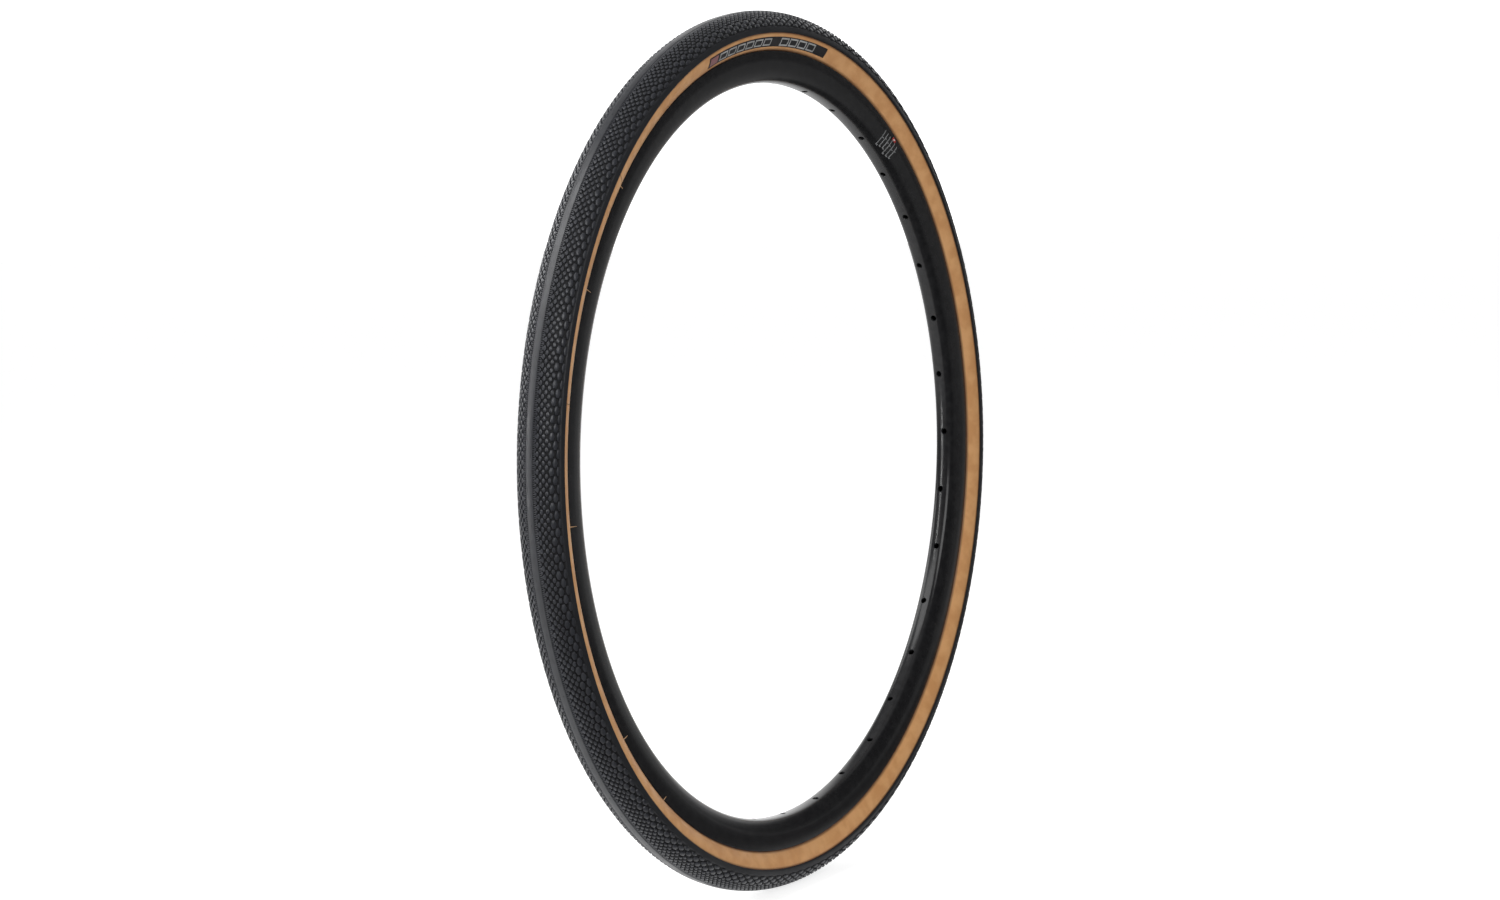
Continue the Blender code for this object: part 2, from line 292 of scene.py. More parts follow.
def makeTreadRubber(name, lift=1.0):
    material, n, shader, where = newMaterial(name, Specular_IOR_Level=0.5)
    grain = n.group(grainGroup, Vector=where, Scale=1500.0)
    place = n.group(placeGroup, Vector=where)
    bloom = n.noise(where, 26.0, 4.0)
    # a lift below 1 paints the whole rubber darker, as painted shade
    dark = tuple(c * lift for c in rubberLook["dark"])
    light = tuple(c * lift for c in rubberLook["light"])
    share = n.math("MULTIPLY_ADD", grain["Mottle"], 0.5, n.math("MULTIPLY", bloom, 0.5))
    # painted shade: the floor between the knobs, and the flanks, get the dark valley tone
    raised = n.ramp(place["Section"], tread["base"] + 0.1 * mm, tread["base"] + 0.75 * mm)
    flankShadeAndMatt = n.ramp(place["Radius"], sectionRadius + 5.0 * mm, sectionRadius + 9.0 * mm, 0.3, 1.0)
    raised = n.math("MULTIPLY", raised, flankShadeAndMatt)                 # the flanks take the valley tone too: painted shade, and a rougher skin
    n.put(shader.inputs["Base Color"], n.mix(raised, rubberLook["valleyShade"], n.mix(share, dark, light)))
    worn = n.ramp(bloom, 0.3, 0.7, *rubberLook["roughness"])
    n.put(shader.inputs["Roughness"], n.math("MULTIPLY_ADD", n.math("SUBTRACT", 1.0, raised), 0.35, worn))
    addBump(n, shader, grain["Height"], 0.35, 0.10 * mm)
    return material

# the edge tone is painted shade for the creases at the rim and at the tread
tanLook = {"base": (0.63, 0.311, 0.120), "pale": (0.73, 0.392, 0.166), "edge": (0.17, 0.072, 0.032)}

def makeTanRubber():
    material, n, shader, where = newMaterial("tanRubber", Specular_IOR_Level=0.4)
    grain = n.group(grainGroup, Vector=where, Scale=1100.0)
    place = n.group(placeGroup, Vector=where)
    mottle = n.noise(where, 60.0, 4.0)
    colour = n.mix(n.ramp(mottle, 0.35, 0.65), tanLook["base"], tanLook["pale"])
    # painted shade: the tan darkens to brown where it meets the rim and the tread
    foot = wheel["rimEdge"]
    rimShade = n.ramp(place["Radius"], foot + 0.4 * mm, foot + 2.2 * mm, 1.0, 0.0)
    treadShade = n.ramp(place["Radius"], wallEdge - 1.7 * mm, wallEdge + 0.2 * mm)
    edge = n.math("MAXIMUM", rimShade, treadShade)
    n.put(shader.inputs["Base Color"], n.mix(n.math("MULTIPLY", edge, 0.85), colour, tanLook["edge"]))
    n.put(shader.inputs["Roughness"], n.ramp(grain["Mottle"], 0.0, 1.0, 0.44, 0.56))
    addBump(n, shader, grain["Height"], 0.3, 0.08 * mm)
    return material

def makePlain(name, colour, other, roughness, metallic=0.0, scale=1200.0, bump=0.2, gloss=0.5):
    # printed film, cloth and metal: two close tones over a fine grain
    material, n, shader, where = newMaterial(name, Metallic=metallic, Specular_IOR_Level=gloss)
    grain = n.group(grainGroup, Vector=where, Scale=scale)
    n.put(shader.inputs["Base Color"], n.mix(grain["Mottle"], colour, other))
    n.put(shader.inputs["Roughness"], n.ramp(grain["Mottle"], 0.0, 1.0, roughness - 0.05, roughness + 0.05))
    addBump(n, shader, grain["Height"], bump, 0.05 * mm)
    return material

def makeRimBlack():
    material, n, shader, where = newMaterial("rimBlack", Specular_IOR_Level=0.26)
    grain = n.group(grainGroup, Vector=where, Scale=1800.0)
    place = n.group(placeGroup, Vector=where)
    drawn = n.add("ShaderNodeCombineXYZ")                     # drawing lines run round the rim
    n.put(drawn.inputs[0], place["Radius"])
    n.put(drawn.inputs[1], place["Side"])
    lines = n.noise(drawn.outputs[0], 2600.0, 2.0)
    n.put(shader.inputs["Base Color"], n.mix(grain["Mottle"], (0.010, 0.010, 0.011), (0.015, 0.015, 0.016)))
    n.put(shader.inputs["Roughness"], n.ramp(lines, 0.3, 0.7, 0.15, 0.24))
    addBump(n, shader, n.math("MULTIPLY_ADD", lines, 0.5, grain["Height"]), 0.15, 0.04 * mm)
    return material


# The view is given as angles, distance and lens, with the turn of the camera about its own axis
view = {"azimuth": -60.0, "elevation": 4.77, "roll": -1.67, "distance": 2.389, "lens": 71.93,
        "shift": (-0.0186, 0.0008)}

def makeCamera():
    a, e, turned = (radians(view[key]) for key in ("azimuth", "elevation", "roll"))
    back = Vector((sin(a) * cos(e), -cos(a) * cos(e), sin(e)))
    right = Vector((0, 0, 1)).cross(back).normalized()
    up = back.cross(right)
    tilted = right * cos(turned) + up * sin(turned)
    upright = -right * sin(turned) + up * cos(turned)
    data = bpy.data.cameras.new("camera")
    data.lens, data.sensor_width = view["lens"], 36
    data.shift_x, data.shift_y = view["shift"]
    camera = bpy.data.objects.new("camera", data)
    place = Matrix((tilted, upright, back)).transposed().to_4x4()
    place.translation = back * view["distance"]
    camera.matrix_world = place
    bpy.context.scene.collection.objects.link(camera)
    bpy.context.scene.camera = camera

studio = {"floor": (0.5, 0.5, 0.5), "mirrored": (0.06, 0.06, 0.06), "glow": 0.77, "floorSize": 60.0,
          "back": 1.7, "front": 0.07, "above": 0.6}

def makeFloor():
    bm = bmesh.new()
    bmesh.ops.create_grid(bm, x_segments=1, y_segments=1, size=studio["floorSize"] / 2)
    bmesh.ops.translate(bm, verts=bm.verts, vec=(0, 0, -wheel["top"] - 0.2 * mm))
    mesh = bpy.data.meshes.new("floor")
    bm.to_mesh(mesh)
    bm.free()
    material, n, shader, where = newMaterial("floorPaint", Roughness=0.9, Specular_IOR_Level=0.1)
    cloud = n.noise(where, 1.5, 2.0)
    paint = n.mix(cloud, studio["floor"], tuple(c * 0.99 for c in studio["floor"]))
    # glows a little so that no hard shadow forms; the light it throws on the wheel is strongest behind it
    split = n.add("ShaderNodeSeparateXYZ")
    n.put(split.inputs[0], where)
    x, y = split.outputs[0], split.outputs[1]
    behind = n.math("MULTIPLY_ADD", x, 0.866, n.math("MULTIPLY", y, 0.5))
    aside = n.math("ABSOLUTE", n.math("MULTIPLY_ADD", x, 0.5, n.math("MULTIPLY", y, -0.866)))
    reach = n.math("MULTIPLY_ADD", n.math("MAXIMUM", behind, 0.0), 0.3, 0.8)
    pool = n.math("MULTIPLY", n.ramp(n.math("DIVIDE", aside, reach), 1.0, 2.2, 1.0, 0.25),
                  n.ramp(behind, -1.0, -0.15, 0.2, 1.0))
    front = n.ramp(y, -0.14, 0.02, 1.0, 0.0)
    pool = n.math("MULTIPLY", pool, n.ramp(front, 0.0, 1.0, 1.0, 0.2))
    # painted reflection: to glossy rays the floor right in front of the wheel is dark and glows less, since
    # the dark wheel would otherwise mirror it
    rays = n.add("ShaderNodeLightPath")
    mirrored = n.math("MULTIPLY", n.math("MULTIPLY", front, n.ramp(x, 0.9, 1.7, 1.0, 0.0)),
                      rays.outputs["Is Glossy Ray"])
    pool = n.math("MULTIPLY", pool, n.ramp(mirrored, 0.0, 1.0, 1.0, 0.1))
    n.put(shader.inputs["Base Color"], n.mix(mirrored, paint, studio["mirrored"]))
    pool = n.math("MAXIMUM", pool, rays.outputs["Is Camera Ray"])
    n.put(shader.inputs["Emission Color"], (1.0, 1.0, 1.0))
    n.put(shader.inputs["Emission Strength"], n.math("MULTIPLY", pool, studio["glow"]))
    mesh.materials.append(material)
    floor = bpy.data.objects.new("floor", mesh)
    bpy.context.scene.collection.objects.link(floor)

def makeWorld():
    world = bpy.data.worlds.new("studio")
    world.use_nodes = True
    n = Nodes(world.node_tree)
    background = world.node_tree.nodes["Background"]
    towards = n.add("ShaderNodeVectorMath", operation="DOT_PRODUCT")
    n.put(towards.inputs[0], n.add("ShaderNodeTexCoord").outputs["Generated"])
    towards.inputs[1].default_value = (0.866, 0.5, 0.0)
    soft = n.ramp(towards.outputs["Value"], 0.56, 0.92, studio["front"], studio["back"])
    height = n.add("ShaderNodeSeparateXYZ")
    n.put(height.inputs[0], towards.inputs[0].links[0].from_socket)
    soft = n.math("MAXIMUM", soft, n.ramp(height.outputs["Z"], 0.6, 0.95, 0.0, studio["above"]))
    seen = n.add("ShaderNodeLightPath").outputs["Is Camera Ray"]
    n.put(background.inputs["Strength"], n.math("MAXIMUM", soft, seen))
    background.inputs["Color"].default_value = (1, 1, 1, 1)
    bpy.context.scene.world = world

lamps = {                                        # place, aim, size across, power
    "keyLeft": ((-1.3, 0.9, 1.9), (0, 0, 0.1), (1.6, 1.2), 26.0),
    "fillFront": ((-1.9, -1.7, 1.2), (0, 0, 0), (1.8, 1.4), 40.0),
    "rimBack": ((-0.2, 2.1, 1.0), (-0.2, 0, 0.1), (1.5, 1.5), 26.0),
    "stripLeft": ((-1.6, 1.1, 0.35), (0.3, 0, 0), (0.05, 1.9), 14.0),
}

def makeLamps():
    for name, (place, aim, size, power) in lamps.items():
        data = bpy.data.lights.new(name, "AREA")
        data.shape, data.size, data.size_y, data.energy = "RECTANGLE", size[0], size[1], power
        lamp = bpy.data.objects.new(name, data)
        lamp.location = place
        lamp.rotation_euler = (Vector(place) - Vector(aim)).to_track_quat("Z", "Y").to_euler()
        lamp.visible_camera = False
        bpy.context.scene.collection.objects.link(lamp)

makeCamera()
makeWorld()
makeLamps()
makeFloor()
bpy.context.scene.view_settings.view_transform = "Standard"
print("studio ready")


# Tread: the smooth strip, one base ring for each shoulder, and the rows of knobs on it
treadRubber = makeTreadRubber("treadRubber")
# the strip is the same rubber painted darker, as painted shade
stripRubberShaded = makeTreadRubber("stripRubberShaded", 0.72)

def makeStrip():
    top, angle = wheel["sectionHeight"], tread["stripAngle"]
    crown = sectionArc(top, angle, -angle, 12)
    below = sectionArc(tread["under"], -angle - 0.6, angle + 0.6, 8)
    corners = [(r, s, 0) for r, s in crown[1:-1]]
    corners += [(*crown[-1], 0.4 * mm)] + [(r, s, 0) for r, s in below] + [(*crown[0], 0.4 * mm)]
    return finishPiece(ringMesh(softened(corners)), "treadStrip", stripRubberShaded, "tread_rubber",
                       replaced=("tread_centre",))

def shoulderOutline():
    start, edge = tread["stripAngle"] + 0.9, tread["edgeAngle"]
    base = sectionArc(tread["base"], start, tread["wingStart"] - 2.5, 14)
    wing = sectionArc(tread["wing"], tread["wingStart"], edge - 2.4, 5)
    under = sectionArc(tread["under"] + 0.2 * mm, edge, start, 14)
    lip = onSection(tread["wing"] - 0.5 * mm, radians(edge))
    corners = [(r, s, 0) for r, s in base[:-1]] + [(*base[-1], 0.5 * mm), (*wing[0], 0.5 * mm)]
    corners += [(r, s, 0) for r, s in wing[1:]] + [(*lip, 0.3 * mm)]
    return softened(corners + [(r, s, 0) for r, s in under])

def makeShoulder(name, front, node):
    bm = ringMesh(shoulderOutline() if front else flipped(shoulderOutline()))
    return finishPiece(bm, name, treadRubber, "tread_rubber", replaced=(node,))

# For each row: angle in the section, knobs in a module, phase in modules, length and width in mm,
# corners, turn of the corners, and height of the top above the section centre in mm
knobRows = {
    "fileRib": (11.4, 8, 0.0, (1.0, 2.3), 4, 45, 19.25),
    "edgeRib": (14.8, 4, 0.0, (2.2, 1.5), 4, 45, 19.3),
    "firstOval": (19.0, 2, 0.25, (4.4, 2.5), 8, 22.5, 19.3),
    "secondOval": (25.4, 2, 0.0, (4.3, 2.5), 8, 22.5, 19.3),
    "thirdOval": (32.0, 2, 0.25, (3.9, 2.4), 8, 22.5, 19.3),
    "fourthOval": (38.8, 2, 0.0, (4.0, 2.4), 8, 22.5, 19.3),
    "smallDot": (45.0, 1, 0.75, (4.2, 2.5), 8, 22.5, 19.3),
    "bigHex": (49.6, 1, 0.25, (6.6, 4.3), 6, 0, 19.35),
    "outerHex": (57.6, 1, 0.75, (7.0, 4.3), 6, 0, 19.3),
    "edgeBlock": (65.6, 1, 0.25, (7.2, 3.6), 6, 0, 19.25),
}
knobCut = {"sink": 0.35 * mm, "draft": 0.82, "edge": 0.22 * mm}

def addKnob(bm, size, corners, turned, height):
    made = bmesh.ops.create_circle(bm, cap_ends=True, segments=corners, radius=0.5 * mm)["verts"]
    bmesh.ops.rotate(bm, verts=made, matrix=Matrix.Rotation(radians(turned), 3, "Z"))
    reach = max(v.co.x for v in made), max(v.co.y for v in made)
    bmesh.ops.scale(bm, verts=made, vec=(size[0] * mm / 2 / reach[0], size[1] * mm / 2 / reach[1], 1))
    foot = made[0].link_faces[0]
    grown = bmesh.ops.extrude_face_region(bm, geom=[foot], use_keep_orig=True)["geom"]
    top = [v for v in grown if isinstance(v, bmesh.types.BMVert)]
    cap = [f for f in grown if isinstance(f, bmesh.types.BMFace)]
    bmesh.ops.translate(bm, verts=top, vec=(0, 0, height))
    bmesh.ops.scale(bm, verts=top, vec=(knobCut["draft"], knobCut["draft"], 1))
    bmesh.ops.bevel(bm, geom=list(cap[0].edges), offset=knobCut["edge"], offset_type="OFFSET",
                    segments=1, profile=0.5, affect="EDGES", material=-1, clamp_overlap=True)

def makeKnobRow(rowName, front):
    angle, perModule, phase, size, corners, turned, topHeight = knobRows[rowName]
    bm = bmesh.new()
    foot = tread["base"] - knobCut["sink"]
    addKnob(bm, size, corners, turned, topHeight * mm - foot)
    count = tread["modules"] * perModule
    bmesh.ops.recalc_face_normals(bm, faces=bm.faces)
    bm.transform(tirePlace(phase * 2 * pi / tread["modules"], radians(angle), foot))
    repeatRound(bm, bm.verts[:] + bm.edges[:] + bm.faces[:], count)
    if not front:
        otherSide(bm)
    side = "Front" if front else "Back"
    return finishPiece(bm, rowName + side, treadRubber, "tread_rubber")

def makeVentDots():
    # plugged mould vents, unevenly spaced along the middle of the strip
    random.seed(7)
    bm = bmesh.new()
    travelled, ring = 0.0, 2 * pi * wheel["top"]
    while travelled < ring - 19 * mm:
        place = tirePlace(travelled / wheel["top"], random.uniform(-0.02, 0.02), wheel["sectionHeight"])
        bmesh.ops.create_cone(bm, cap_ends=True, segments=12, radius1=0.62 * mm, radius2=0.5 * mm,
                              depth=0.16 * mm, matrix=place)
        travelled += random.uniform(19, 50) * mm
    return finishPiece(bm, "ventDots", ventRubber, "tread_rubber")

ventRubber = makePlain("ventRubber", (0.004, 0.004, 0.005), (0.007, 0.007, 0.008), 0.35)
makeStrip()
makeVentDots()
for front, node in ((True, "tread_shoulder_front"), (False, "tread_shoulder_back")):
    makeShoulder("shoulder" + ("Front" if front else "Back"), front, node)
    for rowName in knobRows:
        makeKnobRow(rowName, front)
print("tread ready")


# Tan sidewalls, with vent whiskers and the lines between mould segments
wall = {"top": (333.0, 17.2), "bottom": (316.9, 11.0), "bulge": 1.9, "thickness": 1.1,
        "hook": ((316.6, 10.2), (315.8, 9.5), (315.8, 9.1), (317.0, 8.9))}

def wallPoint(share, lift=0.0):
    # from the tread edge down to the rim, on a shallow arc
    (r0, s0), (r1, s1) = wall["top"], wall["bottom"]
    length = hypot(r1 - r0, s1 - s0)
    out = wall["bulge"] * 4 * share * (1 - share) + lift
    return ((r0 + (r1 - r0) * share + (s1 - s0) / length * out) * mm,
            (s0 + (s1 - s0) * share - (r1 - r0) / length * out) * mm)

def wallOutline():
    outside = [wallPoint(i / 16) for i in range(17)]
    inside = [wallPoint(i / 8, -wall["thickness"]) for i in range(7, -1, -1)]
    return outside + [(r * mm, s * mm) for r, s in wall["hook"]] + inside

tanRubber = makeTanRubber()
for front, node in ((True, "sidewall_front"), (False, "sidewall_back")):
    bm = ringMesh(wallOutline() if front else flipped(wallOutline()))
    finishPiece(bm, "wall" + ("Front" if front else "Back"), tanRubber, "tan_rubber",
                replaced=(node,))

hairs = {                                        # wheel angle and length of each vent whisker
    True: ((138.0, 2.4), (153.8, 4.6), (184.7, 7.2), (216.2, 4.6), (229.7, 3.6), (12.0, 1.6), (301.5, 1.4)),
    False: ((24.0, 3.0), (77.5, 4.2), (129.0, 2.0), (203.5, 5.5), (264.0, 3.4), (331.0, 2.2)),
}
marks = {"angles": (137.9, 169.2), "width": 0.45 * mm}
tanHair = makePlain("tanHair", (0.46, 0.27, 0.14), (0.58, 0.36, 0.20), 0.5)
wallInk = makePlain("wallInk", (0.035, 0.018, 0.012), (0.06, 0.03, 0.02), 0.6)

def makeHairs(front):
    bm = bmesh.new()
    for angle, length in hairs[front]:
        r, s = wallPoint(0.93, -0.15)
        start = onWheel(radians(angle), r, s)
        end = onWheel(radians(angle + 0.02 * length), r - length * mm, s + (0.7 + 0.06 * length) * mm)
        turned = (end - start).to_track_quat("Z", "Y").to_matrix().to_4x4()
        bmesh.ops.create_cone(bm, cap_ends=True, segments=8, radius1=0.36 * mm, radius2=0.16 * mm,
                              depth=(end - start).length,
                              matrix=Matrix.Translation((start + end) / 2) @ turned)
    if not front:
        otherSide(bm)
    return finishPiece(bm, "hairs" + ("Front" if front else "Back"), tanHair, "tan_rubber")

def makeMarks(front):
    # joint lines of the mould segments across the tan wall
    bm = bmesh.new()
    for angle in marks["angles"]:
        def place(along, up, lift):
            return onWheel(radians(angle) + along / sectionRadius, *wallPoint(up, lift))
        laySlab(bm, (-marks["width"] / 2, marks["width"] / 2), (0.2, 0.95), (-0.2, 0.05), (1, 12), place)
    bmesh.ops.recalc_face_normals(bm, faces=bm.faces)
    if not front:
        otherSide(bm)
    return finishPiece(bm, "marks" + ("Front" if front else "Back"), wallInk, "tan_rubber")

for front in (True, False):
    makeHairs(front)
    makeMarks(front)
print("sidewalls ready")


# Dark labels on the tan walls, with plain slanted outlines in place of print
label = {
    "from": 110.5, "to": 77.7, "radius": 323.3 * mm,      # reading direction on the front
    "low": 0.812, "high": 0.335, "lean": 1.5 * mm,        # shares of the wall, and slant of the ends
    "film": (-0.3, 0.10), "print": (0.0, 0.16),           # under and over the wall, in mm
    "block": (0.012, 0.075, 0.14, 0.86),                  # ends along the label, lower and upper edge
    # count, first start, pitch and width as shares of the length, lower and upper edge, stroke
    "groups": ((6, 0.092, 0.074, 0.062, 0.14, 0.86, 1.1 * mm),
               (4, 0.605, 0.076, 0.066, 0.10, 0.90, 1.25 * mm)),
}
labelLength = radians(label["from"] - label["to"]) * label["radius"]
labelDark = makePlain("labelDark", (0.009, 0.0085, 0.0105), (0.014, 0.013, 0.0155), 0.5, gloss=0.4)
labelGrey = makePlain("labelGrey", (0.34, 0.345, 0.34), (0.46, 0.465, 0.46), 0.45)
labelRed = makePlain("labelRed", (0.26, 0.10, 0.11), (0.33, 0.15, 0.15), 0.45)

def labelPlace(front):
    def place(along, up, lift):
        turned = radians(label["from"]) - (along + label["lean"] * (up - 0.5)) / label["radius"]
        r, s = wallPoint(label["low"] + (label["high"] - label["low"]) * up, lift)
        if front:
            return onWheel(turned, r, s)
        return onWheel(radians(label["from"] + label["to"]) - turned, r, -s)
    return place

def labelBar(bm, start, end, low, high, place, layer="print"):
    steps = max(1, round((end - start) * labelLength / (5 * mm))), max(1, round((high - low) * 6))
    laySlab(bm, (start * labelLength, end * labelLength), (low, high), label[layer], steps, place)

def labelFrame(bm, start, end, low, high, line, place):
    # outline of a slanted block
    upright, across = line / labelLength, line / (8.2 * mm)
    labelBar(bm, start, end, high - across, high, place)
    labelBar(bm, start, end, low, low + across, place)
    inside = low + 1.02 * across, high - 1.02 * across      # hairline between the strokes
    labelBar(bm, start, start + upright, *inside, place)
    labelBar(bm, end - upright, end, *inside, place)

def finishPrint(bm, name, front, material, replaced=()):
    bmesh.ops.recalc_face_normals(bm, faces=bm.faces)
    side = "Front" if front else "Back"
    return finishPiece(bm, name + side, material, "label_print", replaced=replaced)

def makeLabel(front, node):
    place = labelPlace(front)
    bm = bmesh.new()
    labelBar(bm, 0.0, 1.0, 0.0, 1.0, place, "film")
    finishPrint(bm, "label", front, labelDark, (node,))
    bm = bmesh.new()
    labelBar(bm, *label["block"], place)
    finishPrint(bm, "labelBlock", front, labelRed)
    bm = bmesh.new()
    for count, first, pitch, width, low, high, stroke in label["groups"]:
        for i in range(count):
            start = first + i * pitch
            labelFrame(bm, start, start + width, low, high, stroke, place)
    finishPrint(bm, "labelBars", front, labelGrey)

for front, node in ((True, "label_front"), (False, "label_back")):
    makeLabel(front, node)
print("labels ready")


# Rim: a turned outline with the chamber, spoke holes and valve hole cut out of it
rim = {
    # half sections in mm: radius, side and how far each corner is rounded
    "outline": ((291.6, 0.0, 0), (291.65, 1.6, 0.7), (292.0, 4.4, 1.3), (293.3, 6.6, 1.2),
                (295.6, 8.2, 1.2), (299.0, 9.5, 1.8), (303.2, 10.55, 2.0), (308.5, 11.3, 1.8),
                (316.5, 11.4, 0.6), (316.5, 9.9, 0.5), (311.0, 10.1, 0.4), (311.0, 4.9, 0.5),
                (308.0, 3.9, 0.5), (308.0, 0.0, 0)),
    "chamber": ((293.4, 0.0, 0), (293.4, 3.6, 1.0), (300.4, 8.0, 1.5), (309.0, 9.3, 0.5),
                (309.0, 5.6, 0.5), (306.4, 3.6, 0.5), (306.4, 0.0, 0)),
    "holes": 36, "firstHole": 8.5, "stagger": 1.2 * mm, "holeRadius": 2.25 * mm,
    "accessRadius": 3.05 * mm, "valveAngle": 93.5, "valveRadius": 3.25 * mm,
    "bed": 287 * mm, "inner": 300 * mm, "seat": 315 * mm,      # where the cutting pins start and end
    "lip": (291.0 * mm, 292.4 * mm), "lipGrow": (0.9 * mm, -0.1 * mm),
}
rimBlack = makeRimBlack()

def ringBoth(corners):
    half = softened([(r * mm, s * mm, reach * mm) for r, s, reach in corners])
    return half + [(r, -s) for r, s in reversed(half) if s > 0]

def radialPin(bm, angle, side, radius, start, end, farRadius=None):
    place = Matrix.Rotation(-angle, 4, "Y") @ Matrix.Translation(((start + end) / 2, -side, 0))
    bmesh.ops.create_cone(bm, cap_ends=True, segments=20, radius1=radius, radius2=farRadius or radius,
                          depth=end - start, matrix=place @ Matrix.Rotation(pi / 2, 4, "Y"))

def valvePin(start):
    bm = bmesh.new()
    radialPin(bm, radians(rim["valveAngle"]), 0, rim["valveRadius"], start, rim["seat"])
    return bm

def spokePlaces():
    step = 2 * pi / rim["holes"]
    for i in range(rim["holes"]):
        yield radians(rim["firstHole"]) + i * step, rim["stagger"] * (1 if i % 2 else -1)

def cutAway(piece, cutterMesh):
    mesh = bpy.data.meshes.new("cutter")
    cutterMesh.to_mesh(mesh)
    cutterMesh.free()
    cutter = bpy.data.objects.new("cutter", mesh)
    bpy.context.scene.collection.objects.link(cutter)
    boolean = piece.modifiers.new("cut", "BOOLEAN")
    boolean.operation, boolean.solver, boolean.object = "DIFFERENCE", "EXACT", cutter
    cutMesh = bpy.data.meshes.new_from_object(piece.evaluated_get(bpy.context.evaluated_depsgraph_get()))
    piece.modifiers.clear()
    piece.data = cutMesh
    bpy.data.objects.remove(cutter)

def closeSeams(piece):
    # merges the points that a row of cuts leaves side by side
    bm = bmesh.new()
    bm.from_mesh(piece.data)
    bmesh.ops.remove_doubles(bm, verts=bm.verts, dist=seamGap)
    bmesh.ops.dissolve_degenerate(bm, edges=bm.edges, dist=seamGap)
    bmesh.ops.triangulate(bm, faces=[face for face in bm.faces if len(face.verts) > 4])
    bm.to_mesh(piece.data)
    bm.free()
    shadeSmooth(piece.data)

def makeRim():
    piece = finishPiece(ringMesh(ringBoth(rim["outline"])), "rimBody", rimBlack, "rim_coating",
                        replaced=("rim",))
    cutAway(piece, ringMesh(ringBoth(rim["chamber"])))
    bed, inner, seat, radius = rim["bed"], rim["inner"], rim["seat"], rim["holeRadius"]
    lipNear, lipFar = (radius + grow for grow in rim["lipGrow"])
    for kind in ("hole", "access", "lip"):
        pins = bmesh.new()
        for angle, side in spokePlaces():
            if kind == "hole":
                radialPin(pins, angle, side, radius, bed, inner)
            elif kind == "access":
                radialPin(pins, angle, 0, rim["accessRadius"], inner + mm, seat)
            else:
                radialPin(pins, angle, side, lipNear, *rim["lip"], lipFar)
        cutAway(piece, pins)
    cutAway(piece, valvePin(bed))
    closeSeams(piece)

makeRim()
print("rim ready")


# Rim decals: thin slanted outlines and a small red block
decal = {"from": 56.0, "radius": 305.0 * mm, "lean": 4.0 * mm, "low": 294.6 * mm, "high": 311.0 * mm,
         "line": 1.1 * mm, "pitch": 4.6 * mm, "film": (-0.2 * mm, 0.06 * mm), "over": (0.0, 0.12 * mm)}
decalGrey = makePlain("decalGrey", (0.19, 0.194, 0.2), (0.26, 0.265, 0.27), 0.38)
decalRed = makePlain("decalRed", (0.42, 0.03, 0.03), (0.52, 0.05, 0.04), 0.38)
decalPale = makePlain("decalPale", (0.72, 0.71, 0.70), (0.82, 0.81, 0.80), 0.38)
rimSide = [(r, s) for r, s in ringBoth(rim["outline"]) if s > 5 * mm and r < 316.3 * mm]

def decalPlace(front):
    def place(along, up, lift):
        share = (up - decal["low"]) / (decal["high"] - decal["low"])
        turned = radians(decal["from"]) - (along + decal["lean"] * share) / decal["radius"]
        nearest = [pair for pair in zip(rimSide, rimSide[1:]) if pair[0][0] <= up <= pair[1][0]][0]
        (r0, s0), (r1, s1) = nearest
        side = s0 + (s1 - s0) * (up - r0) / (r1 - r0) + lift
        return onWheel(turned, up, side)
    return place

def makeDecal(front, node):
    place = decalPlace(front)
    grey, red, pale = bmesh.new(), bmesh.new(), bmesh.new()
    line, pitch = decal["line"], decal["pitch"]
    for i in range(6):
        low = decal["low"] + 1.1 * mm * (i % 3)
        laySlab(grey, (i * pitch, i * pitch + line), (low, decal["high"]), decal["film"], (1, 12), place)
        for height in (low, (low + decal["high"]) / 2 + 1.2 * mm * (i % 2)):
            across = i * pitch + 1.02 * line, i * pitch + (2.6 if i % 2 else 3.2) * mm
            laySlab(grey, across, (height, height + line), decal["film"], (1, 2), place)
    laySlab(red, (13.0 * mm, 18.6 * mm), (311.0 * mm, 314.0 * mm), decal["film"], (1, 3), place)
    laySlab(pale, (14.8 * mm, 16.8 * mm), (311.7 * mm, 313.3 * mm), decal["over"], (1, 2), place)
    for bm, name, material, replaced in ((grey, "decalLines", decalGrey, (node,)),
                                         (red, "decalBlock", decalRed, ()),
                                         (pale, "decalDot", decalPale, ())):
        bmesh.ops.recalc_face_normals(bm, faces=bm.faces)
        if not front:
            otherSide(bm)
        finishPiece(bm, name + ("Front" if front else "Back"), material, "decal_print", replaced=replaced)

for front, node in ((True, "rim_decal_front"), (False, "rim_decal_back")):
    makeDecal(front, node)
print("decals ready")


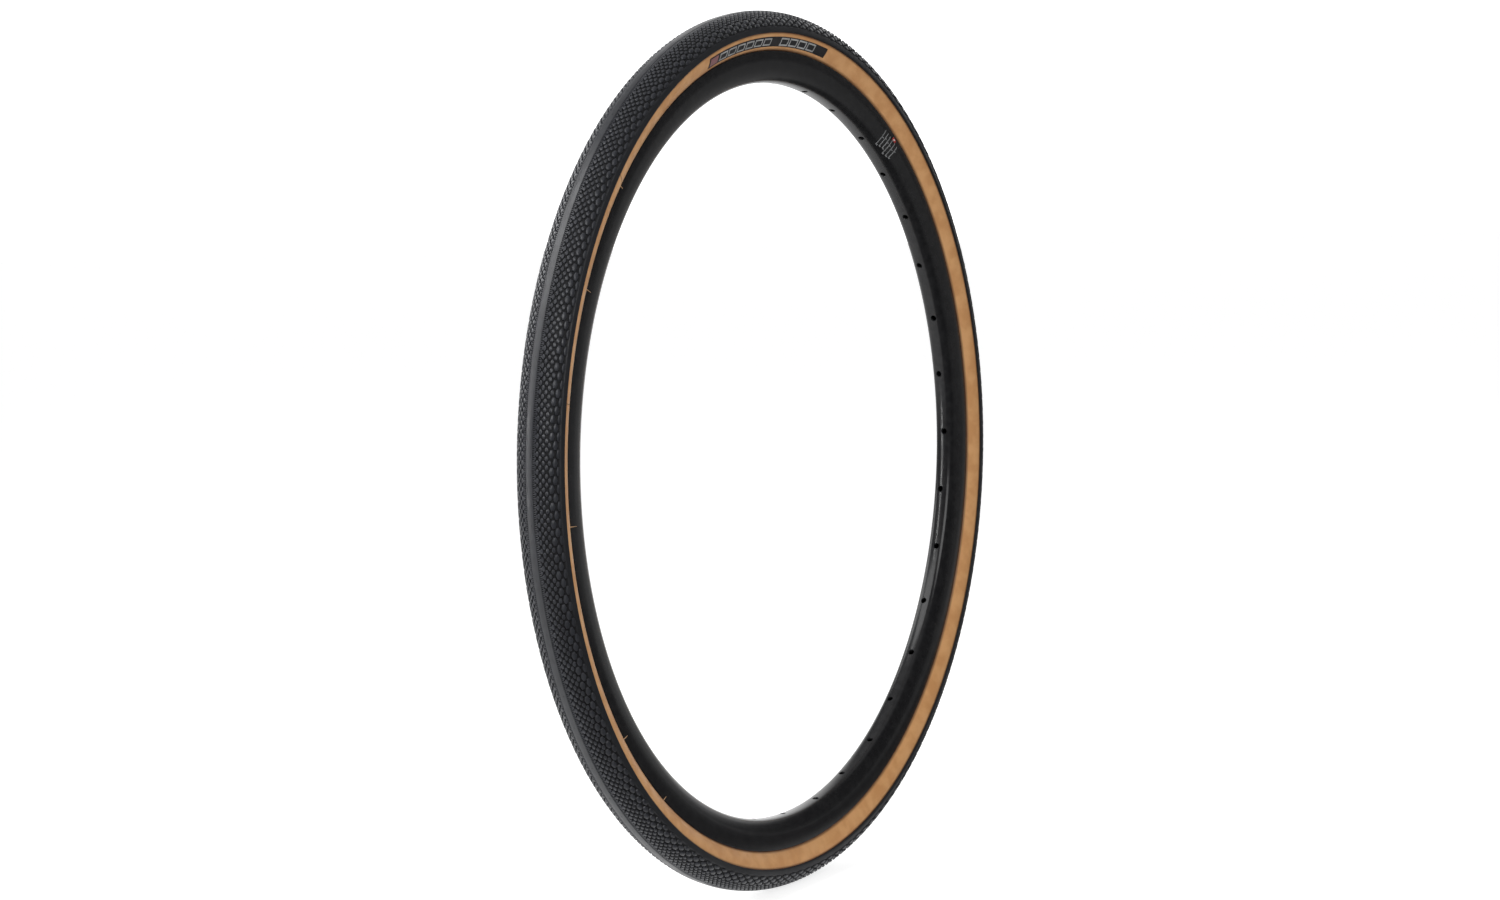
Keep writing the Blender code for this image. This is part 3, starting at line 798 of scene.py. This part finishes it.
# Layers inside the tire, made round like the outside
layers = {                                       # middle path in mm and thickness
    "ply": (15.6, 70, ((330.3, 15.5), (325.7, 14.6), (321.6, 12.5), (319.0, 10.4), (317.4, 7.0),
                       (314.8, 4.4), (312.4, 4.6), (312.4, 8.4), (316.0, 8.6)), 0.6),
    "liner": (14.65, 70, ((330.5, 14.6), (326.0, 13.65), (322.1, 11.75), (319.0, 7.0), (316.4, 3.7),
                          (313.2, 3.3)), 0.5),
    "belt": (16.55, 60, (), 0.5),
    "chafer": ((316.2, 9.4), (311.6, 9.4), (311.6, 4.2)),
    "bead": (314.4, 6.6, 1.35),
    "tape": ((308.3, 0.0, 0), (308.3, 3.6, 0.2), (308.7, 3.6, 0.2), (308.7, 0.0, 0)),
    "steps": 180,
}
plyCloth = makePlain("plyCloth", (0.34, 0.20, 0.10), (0.44, 0.27, 0.14), 0.8, scale=2400.0, bump=0.6)
beltCloth = makePlain("beltCloth", (0.12, 0.11, 0.10), (0.18, 0.17, 0.16), 0.85, scale=2400.0, bump=0.6)
beadFibre = makePlain("beadFibre", (0.55, 0.45, 0.17), (0.66, 0.56, 0.25), 0.7)
chaferCloth = makePlain("chaferCloth", (0.04, 0.04, 0.04), (0.06, 0.06, 0.06), 0.85, scale=2400.0)
linerRubber = makePlain("linerRubber", (0.030, 0.030, 0.034), (0.045, 0.045, 0.05), 0.5)
tapeYellow = makePlain("tapeYellow", (0.52, 0.39, 0.08), (0.60, 0.47, 0.12), 0.5)
sleeveMetal = makePlain("sleeveMetal", (0.55, 0.56, 0.58), (0.66, 0.67, 0.69), 0.35, metallic=1.0)

def layerOutline(key):
    height, angle, foot, thickness = layers[key]
    half = sectionArc(height * mm, 0, angle, 12) + [(r * mm, s * mm) for r, s in foot]
    return widened(flipped(half[:0:-1]) + half, thickness * mm)

for key, material, slot, node in (("ply", plyCloth, "ply_fabric", "casing_ply"),
                                  ("liner", linerRubber, "liner_rubber", "inner_liner"),
                                  ("belt", beltCloth, "belt_fabric", "puncture_belt")):
    finishPiece(ringMesh(layerOutline(key), layers["steps"]), key, material, slot, replaced=(node,))

for side, flip in (("front", list), ("back", flipped)):
    r, s, radius = (value * mm for value in layers["bead"])
    core = [(r + radius * cos(i * pi / 6), s + radius * sin(i * pi / 6)) for i in range(12)]
    finishPiece(ringMesh(flip(core), layers["steps"]), "bead" + side.title(), beadFibre, "bead_fibre",
                replaced=("bead_core_" + side,))
    strip = widened([(r * mm, s * mm) for r, s in layers["chafer"]], 0.4 * mm)
    finishPiece(ringMesh(flip(strip), layers["steps"]), "chafer" + side.title(), chaferCloth,
                "chafer_fabric", replaced=("chafer_" + side,))

tapePiece = finishPiece(ringMesh(ringBoth(layers["tape"]), layers["steps"]), "tape", tapeYellow, "rim_tape",
                        replaced=("rim_tape",))
cutAway(tapePiece, valvePin(rim["inner"]))
closeSeams(tapePiece)
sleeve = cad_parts["rim_joint_sleeve"]
sleeve.data.materials.clear()
sleeve.data.materials.append(sleeveMetal)
print("layers ready")
